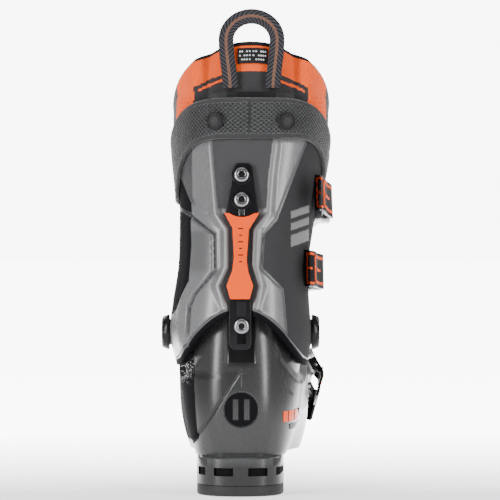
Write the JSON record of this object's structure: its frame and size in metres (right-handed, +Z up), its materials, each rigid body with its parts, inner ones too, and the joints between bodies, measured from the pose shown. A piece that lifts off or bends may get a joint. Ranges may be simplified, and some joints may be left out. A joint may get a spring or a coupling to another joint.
{
  "type": "alpine ski boot",
  "caption": "Right alpine ski boot: overlap lower shell on replaceable sole plates, hinged upper cuff with rear spine, micro-adjust buckles, power strap and removable liner.",
  "frame": {"origin": "centre of the heel plate's tread face, on the ground", "axes": "+Z up, +Y towards the toe, +X towards the outer (buckle) side of the right foot"},
  "size_m": [0.1383, 0.3176, 0.3877],
  "materials": {
    "shell_plastic": "satin moulded plastic, smoke grey",
    "cuff_plastic": "satin moulded plastic, gunmetal",
    "black_plastic": "fine grained black",
    "orange_plastic": "satin orange",
    "sole_rubber": "matte, treaded",
    "steel": "bright zinc plated",
    "buckle_metal": "satin cast",
    "webbing": "black woven webbing",
    "liner_fabric": "orange knitted liner fabric with black trim",
    "liner_dark": "black liner fabric"
  },
  "bodies": {
    "shell": {"lower_shell": "shell_plastic", "heel_sole_plate": "sole_rubber", "toe_sole_plate": "sole_rubber", "heel_plate_screw_1": "steel", "heel_plate_screw_2": "steel", "heel_plate_screw_3": "steel", "heel_plate_screw_4": "steel", "toe_plate_screw_1": "steel", "toe_plate_screw_2": "steel", "toe_plate_screw_3": "steel", "toe_plate_screw_4": "steel", "boot_board": "black_plastic", "liner_foot": "liner_dark", "footbed": "liner_dark", "instep_gasket": "sole_rubber", "spine_bolt_lower": "steel", "instep_buckle_base": "buckle_metal", "instep_buckle_ladder": "buckle_metal", "toe_buckle_base": "buckle_metal", "toe_buckle_ladder": "buckle_metal"},
    "cuff": {"cuff": "cuff_plastic", "rear_spoiler": "black_plastic", "spine_plate": "black_plastic", "spine_insert": "orange_plastic", "spine_bolt_upper_1": "steel", "spine_bolt_upper_2": "steel", "power_strap": "webbing", "strap_rivet_1": "black_plastic", "strap_rivet_2": "black_plastic", "strap_end_flap": "webbing", "liner_cuff": "liner_fabric", "tongue": "liner_dark", "pull_loop_rear": "webbing", "pull_loop_front": "webbing", "upper_cuff_buckle_base": "buckle_metal", "upper_cuff_buckle_ladder": "buckle_metal", "lower_cuff_buckle_base": "buckle_metal", "lower_cuff_buckle_ladder": "buckle_metal"},
    "cant_outer": {"cant_dial_outer": "black_plastic", "pivot_screw_outer": "steel"},
    "cant_inner": {"cant_dial_inner": "black_plastic", "pivot_screw_inner": "steel"},
    "upper_cuff_lever": {"upper_cuff_buckle_lever": "black_plastic", "upper_cuff_buckle_cross_pin": "steel"},
    "upper_cuff_bail": {"upper_cuff_buckle_rod": "steel"},
    "upper_cuff_hook": {"upper_cuff_buckle_hook": "steel"},
    "lower_cuff_lever": {"lower_cuff_buckle_lever": "black_plastic", "lower_cuff_buckle_cross_pin": "steel"},
    "lower_cuff_bail": {"lower_cuff_buckle_rod": "steel"},
    "lower_cuff_hook": {"lower_cuff_buckle_hook": "steel"},
    "instep_lever": {"instep_buckle_lever": "black_plastic", "instep_buckle_cross_pin": "steel"},
    "instep_bail": {"instep_buckle_rod": "steel"},
    "instep_hook": {"instep_buckle_hook": "steel"},
    "toe_lever": {"toe_buckle_lever": "black_plastic", "toe_buckle_cross_pin": "steel"},
    "toe_bail": {"toe_buckle_rod": "steel"},
    "toe_hook": {"toe_buckle_hook": "steel"}
  },
  "joints": [
    {"name": "cuff_flex", "type": "hinge", "parent": "shell", "child": "cuff", "pos_m": [0, 0.038, 0.127], "axis": [-1, 0, 0], "range_deg": [0, 7.5], "stiffness_Nm_per_rad": 60},
    {"name": "cant_outer_turn", "type": "hinge", "parent": "cuff", "child": "cant_outer", "pos_m": [0.057, 0.038, 0.127], "axis": [1, 0, 0], "range_deg": [-90, 90]},
    {"name": "cant_inner_turn", "type": "hinge", "parent": "cuff", "child": "cant_inner", "pos_m": [-0.057, 0.038, 0.127], "axis": [-1, 0, 0], "range_deg": [-90, 90]},
    {"name": "upper_cuff_lever_turn", "type": "hinge", "parent": "cuff", "child": "upper_cuff_lever", "pos_m": [0.0696, 0.05451, 0.22907], "axis": [-0.0262, 0.2297, 0.9729], "range_deg": [0, 125]},
    {"name": "upper_cuff_bail_turn", "type": "hinge", "parent": "upper_cuff_lever", "child": "upper_cuff_bail", "pos_m": [0.07082, 0.04485, 0.23139], "axis": [-0.0262, 0.2297, 0.9729], "range_deg": [-137.5, 0]},
    {"name": "upper_cuff_hook_slide", "type": "slide", "parent": "upper_cuff_bail", "child": "upper_cuff_hook", "axis": [-0.2596, 0.9383, -0.2286], "range_m": [0, 0.0025]},
    {"name": "lower_cuff_lever_turn", "type": "hinge", "parent": "cuff", "child": "lower_cuff_lever", "pos_m": [0.06274, 0.04737, 0.17407], "axis": [-0.012, 0.1047, 0.9944], "range_deg": [0, 125]},
    {"name": "lower_cuff_bail_turn", "type": "hinge", "parent": "lower_cuff_lever", "child": "lower_cuff_bail", "pos_m": [0.06359, 0.03745, 0.17512], "axis": [-0.012, 0.1047, 0.9944], "range_deg": [-137.5, 0]},
    {"name": "lower_cuff_hook_slide", "type": "slide", "parent": "lower_cuff_bail", "child": "lower_cuff_hook", "axis": [-0.218, 0.9703, -0.1048], "range_m": [0, 0.0025]},
    {"name": "instep_lever_turn", "type": "hinge", "parent": "shell", "child": "instep_lever", "pos_m": [0.05795, 0.13813, 0.10161], "axis": [0.0672, -0.9358, 0.3461], "range_deg": [0, 125]},
    {"name": "instep_bail_turn", "type": "hinge", "parent": "instep_lever", "child": "instep_bail", "pos_m": [0.0628, 0.13541, 0.09329], "axis": [0.0672, -0.9358, 0.3461], "range_deg": [-137.5, 0]},
    {"name": "instep_hook_slide", "type": "slide", "parent": "instep_bail", "child": "instep_hook", "axis": [-0.6857, 0.2086, 0.6974], "range_m": [0, 0.0025]},
    {"name": "toe_lever_turn", "type": "hinge", "parent": "shell", "child": "toe_lever", "pos_m": [0.05099, 0.18866, 0.08499], "axis": [0.4491, -0.8774, -0.1688], "range_deg": [0, 125]},
    {"name": "toe_bail_turn", "type": "hinge", "parent": "toe_lever", "child": "toe_bail", "pos_m": [0.0551, 0.19237, 0.07665], "axis": [0.4491, -0.8774, -0.1688], "range_deg": [-137.5, 0]},
    {"name": "toe_hook_slide", "type": "slide", "parent": "toe_bail", "child": "toe_hook", "axis": [-0.5208, -0.4106, 0.7485], "range_m": [0, 0.0025]}
  ],
  "couplings": [
    {"joint": "upper_cuff_bail_turn", "follows": "upper_cuff_lever_turn", "ratio": -1.1},
    {"joint": "lower_cuff_bail_turn", "follows": "lower_cuff_lever_turn", "ratio": -1.1},
    {"joint": "instep_bail_turn", "follows": "instep_lever_turn", "ratio": -1.1},
    {"joint": "toe_bail_turn", "follows": "toe_lever_turn", "ratio": -1.1}
  ]
}
